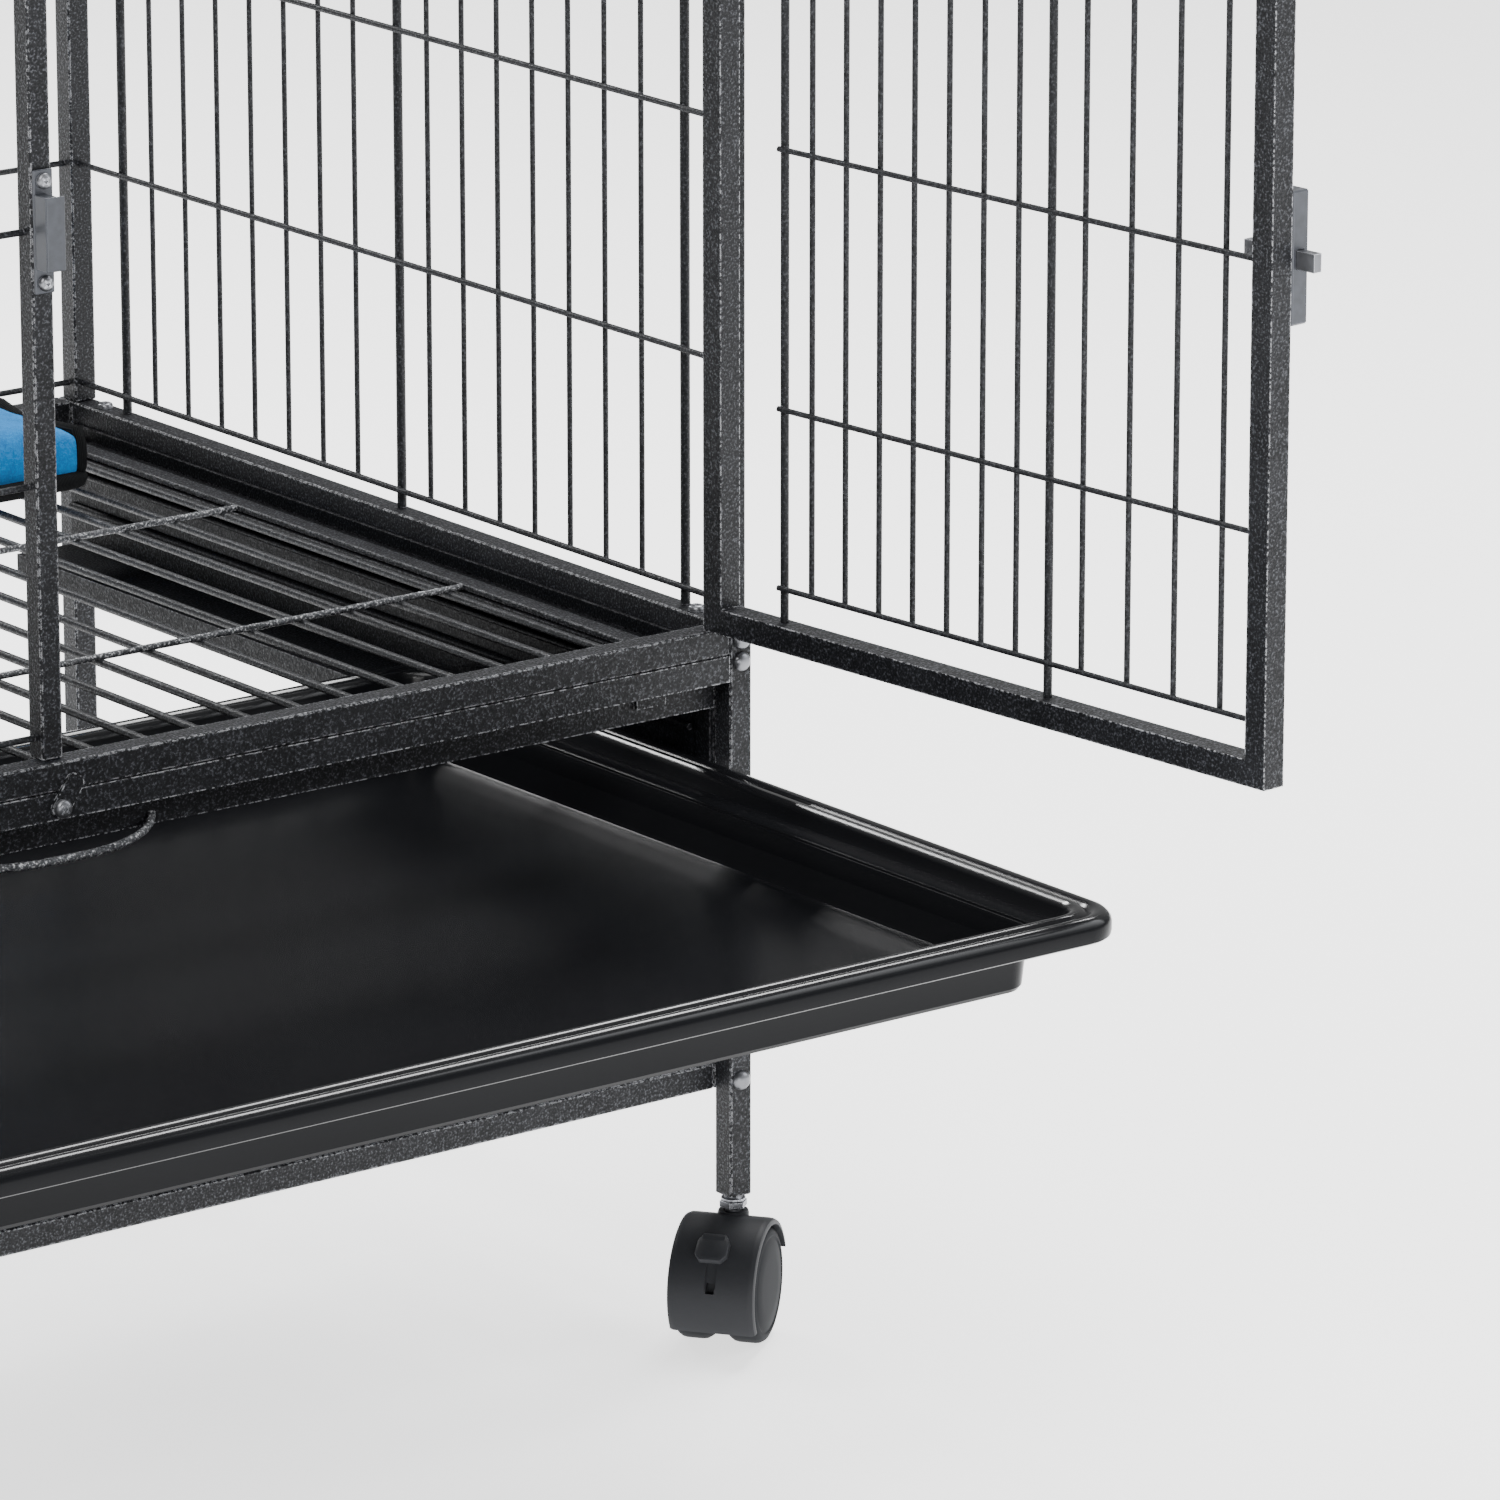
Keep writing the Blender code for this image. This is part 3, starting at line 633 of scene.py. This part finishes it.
hood = turned([(0, -19), (26.6, -19), (27.8, -18.5), (28.4, -17.2), (28.5, -16), (28.5, 16), (28.4, 17.2),
               (27.8, 18.5), (26.6, 19), (0, 19)], ACROSS, 80)
skirt = HUB @ Matrix.Rotation(math.radians(26.6), 4, "Y")
hood = carve(hood, [
    ("DIFFERENCE", blocky((-60, -30, -70), (60, 30, -2.7), skirt)),
    ("UNION", turned(tube(20.0, -3.9, 3.9), ACROSS)),
    ("UNION", turned([(0, 45), (6.9, 45), (6.7, 52.6), (6.3, 53.8), (0, 53.8)], Matrix(), 32)),
    ("DIFFERENCE", turned(tube(25.8, 4.0, 24.0), ACROSS)),
    ("DIFFERENCE", turned(tube(25.8, -24.0, -4.0), ACROSS)),
    ("DIFFERENCE", turned(tube(3.4, -8.0, 8.0), ACROSS, 24)),
    ("DIFFERENCE", turned(tube(4.0, 49.2, 60.0), Matrix(), 24)),
    ("DIFFERENCE", blocky((-2.3, -1.9, -3.6), (2.3, 1.9, 4.0), polar(12.0, 28.5))),
    ("DIFFERENCE", blocky((-6.5, -2.3, -0.6), (5.0, 2.3, 4.0), polar(22.0, 28.4))),
])
hood_mesh = mesh_from("hood", hood)

for place, angle in CASTERS.items():
    end, side = place.split("_")
    spot = CAGE @ Matrix.Translation((SIDES[side] * POST * MM, ENDS[end] * 247.0 * MM, 0)) @ \
        Matrix.Rotation(math.radians(angle), 4, "Z")
    bm = bmesh.new()
    bm.from_mesh(hood_mesh)
    mesh_piece(f"hood_{place}", bm, HOOD, f"caster_{place}", [f"caster_{place}"], spot, 40,
               bevel=0.35)
    for k, reach in (("a", -1), ("b", 1)):
        hub = HUB @ Matrix.Rotation(math.radians(-90 * reach), 4, "X")
        bm = bmesh.new()
        lathe(bm, [(0, 0.4), (3.0, 0.4), (3.0, 4.3), (21.5, 4.3), (23.6, 4.8), (24.7, 6.4), (25.0, 8.2), (25.0, 14.6),
                   (24.7, 16.2), (23.8, 17.6), (22.4, 18.3), (21.0, 18.5), (20.4, 18.1), (19.8, 18.1), (19.0, 18.5),
                   (12.0, 18.9), (0, 19.1)], hub, 64)
        mesh_piece(f"wheel_disc_{place}_{k}", bm, WHEEL, f"wheel_{place}_{k}",
                   [f"wheel_{place}_{k}"], spot, smooth=40)
    pad_frame = polar(52.0, 31.2)
    bm = bmesh.new()
    outline = [(-1.5, -5.4), (1.5, -7.0), (8.0, -7.0), (11.0, -4.6),
               (11.0, 4.6), (8.0, 7.0), (1.5, 7.0), (-1.5, 5.4)]
    loft(bm, [[pad_frame @ Vector((px, py, -1.2)) for px, py in outline],
              [pad_frame @ Vector((px, py, 1.5)) for px, py in outline],
              [pad_frame @ Vector((px * 0.8 + 1.0, py * 0.8, 2.3)) for px, py in outline]])
    lathe(bm, tube(2.6, -5.0, 5.0), pad_frame @ FACING_FRONT, 24)       # the hinge roll, on the pedal's axis
    mesh_piece(f"pedal_{place}", bm, HOOD, f"brake_{place}", [f"brake_{place}"], spot, 40,
               bevel=0.4)
    bm = bmesh.new()
    lathe(bm, [(0, 55.0), (5.2, 55.0), (6.0, 55.6), (6.0, 58.0), (5.2, 58.6), (0, 58.6)], Matrix(), 6)
    lathe(bm, [(0, 58.7), (5.2, 58.7), (5.2, 59.4), (3.9, 59.5), (3.6, 60.0), (3.9, 60.4), (3.9, 60.7),
               (0, 60.7)], Matrix(), 24)
    lathe(bm, tube(3.6, 49.6, 54.9), Matrix(), 24)
    mesh_piece(f"nut_{place}", bm, ZINC, "frame", [f"stem_{place}"], spot, 30)

# ---------------------------------------------------------------- padded floor piece
PAD_LOW, PAD_HIGH = (60.0, 135.0, 299.4), (280.0, 232.0, 329.0)
PUFF = 4.5                      # how far the filled cover may swell, in millimetres
COVER_VOXEL = 4.5
SLICE, SPREAD = 2.6, 0.09       # half widths of a section through the pad, in millimetres and in radians


def swell(lo, hi, voxel, limit):
    """A filled cover: an even mesh of the box, blown up as cloth with each point's travel capped."""
    bm = bmesh.new()
    block(bm, [v + limit for v in lo], [v - limit for v in hi])
    bm.transform(CAGE @ Matrix.Scale(MM, 4))
    cover = put("cover", mesh_from("cover", bm))
    remesh = cover.modifiers.new("even", "REMESH")
    remesh.mode, remesh.voxel_size = "VOXEL", voxel * MM
    even = finished_mesh(cover)
    cover.modifiers.clear()
    cover.data = even
    start = [v.co.copy() for v in even.vertices]
    cloth = cover.modifiers.new("cloth", "CLOTH")
    cloth.settings.use_pressure = True
    cloth.settings.uniform_pressure_force = 4.0
    cloth.settings.effector_weights.gravity = 0.0
    cloth.settings.quality = 6
    for step in range(1, 21):
        bpy.context.scene.frame_set(step)
    blown = cover.evaluated_get(bpy.context.evaluated_depsgraph_get()).to_mesh()
    ends = [v.co.copy() for v in blown.vertices]
    cover.modifiers.clear()
    bpy.context.scene.frame_set(1)
    for vertex, first, last in zip(even.vertices, start, ends):
        move = last - first
        if move.length > limit * MM:
            move *= limit * MM / move.length
        vertex.co = first + move
    bpy.data.objects.remove(cover, do_unlink=True)
    even.shade_smooth()
    return even


cover = swell(PAD_LOW, PAD_HIGH, COVER_VOXEL, PUFF)
pad = add("pad_cover", cover, PLUSH, "frame", ["pad"])
relax = pad.modifiers.new("relax", "SMOOTH")
relax.factor, relax.iterations = 0.5, 6
soft = pad.modifiers.new("soft", "SUBSURF")
soft.levels = soft.render_levels = 1
bpy.context.view_layer.update()
settled = pad.evaluated_get(bpy.context.evaluated_depsgraph_get()).to_mesh()
shape = [CAGE.inverted() @ v.co for v in settled.vertices]


def section_loop(x, out, steps=48):
    """Points round the pad where it is cut at x, pushed outwards by out."""
    near = [v / MM for v in shape if abs(v.x / MM - x) < SLICE]
    cy = (min(v.y for v in near) + max(v.y for v in near)) / 2
    cz = (min(v.z for v in near) + max(v.z for v in near)) / 2
    polar_near = [(math.atan2(v.z - cz, v.y - cy), math.hypot(v.y - cy, v.z - cz)) for v in near]
    reach = [max((size for angle, size in polar_near
                  if abs((angle - math.tau * i / steps + math.pi) % math.tau - math.pi) < SPREAD), default=0.0)
             for i in range(steps)]
    for i in range(steps):
        if reach[i] == 0.0:
            reach[i] = max(reach[i - 1], reach[(i + 1) % steps])
    return [(x, cy + (reach[i] + out) * math.cos(math.tau * i / steps),
             cz + (reach[i] + out) * math.sin(math.tau * i / steps)) for i in range(steps)]


for label, sx, x in (("right", 1, PAD_HIGH[0] - 8.5), ("left", -1, PAD_LOW[0] + 8.5)):
    runs = [(6.8, section_loop(x, -2.0)), (6.4, section_loop(x + sx * 3.6, -3.0))]
    wires(f"pad_binding_{label}", runs, "frame", matter=BINDING, closed=True)
    rings = [[Vector((x + sx * dx, py, pz)) for _, py, pz in section_loop(x, out)]
             for dx, out in ((0.0, -2.6), (4.4, -2.6), (5.8, -5.0), (6.5, -8.0), (6.8, -11.0))]
    bm = bmesh.new()
    loft(bm, rings)
    mesh_piece(f"pad_end_{label}", bm, BINDING, "frame", smooth=60)
hem = round_loop(PAD_LOW[0] + 5.0, PAD_HIGH[0] - 5.0, PAD_LOW[1] + 5.6, PAD_HIGH[1] - 5.6, 12.0, 303.6)
wires("pad_hem", [(8.0, hem)], "frame", matter=BINDING, closed=True)
